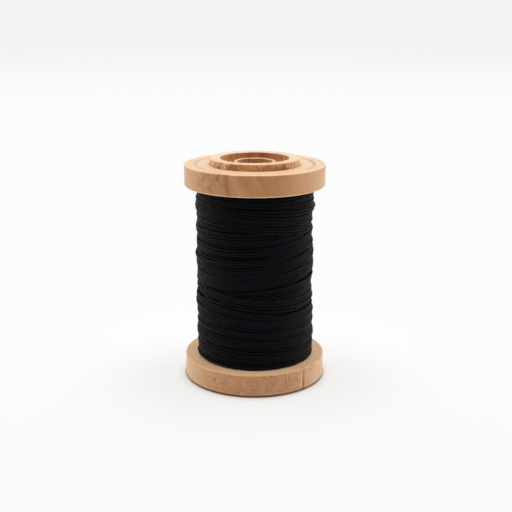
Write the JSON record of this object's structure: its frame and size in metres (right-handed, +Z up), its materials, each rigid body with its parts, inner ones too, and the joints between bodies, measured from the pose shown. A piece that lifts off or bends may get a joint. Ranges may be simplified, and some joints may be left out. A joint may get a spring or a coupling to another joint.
{
  "type": "thread spool",
  "caption": "Turned wooden spool with round flanges, a standing collar and a bushed spindle bore, wound full with dark waxed thread.",
  "frame": {"origin": "middle of the lower flange's underside, on the spool's axis", "axes": "+Z up along the spool's axis towards the collar; -Y is the front, and the saw cut for the thread's end lies between -Y and +X"},
  "size_m": [0.0406, 0.0406, 0.0643],
  "materials": {
    "flange_wood": "turned and sanded, unvarnished",
    "barrel_wood": "turned, end sawn and left rough",
    "bush_wood": "turned and sanded, unvarnished",
    "waxed_thread": "twisted black cord, waxed to a satin"
  },
  "bodies": {
    "root": {"bottom_flange": "flange_wood", "barrel_tube": "barrel_wood", "top_flange": "flange_wood", "bottom_bush": "bush_wood", "top_bush": "bush_wood", "thread_pack": "waxed_thread", "thread_turns": "waxed_thread"}
  },
  "joints": []
}
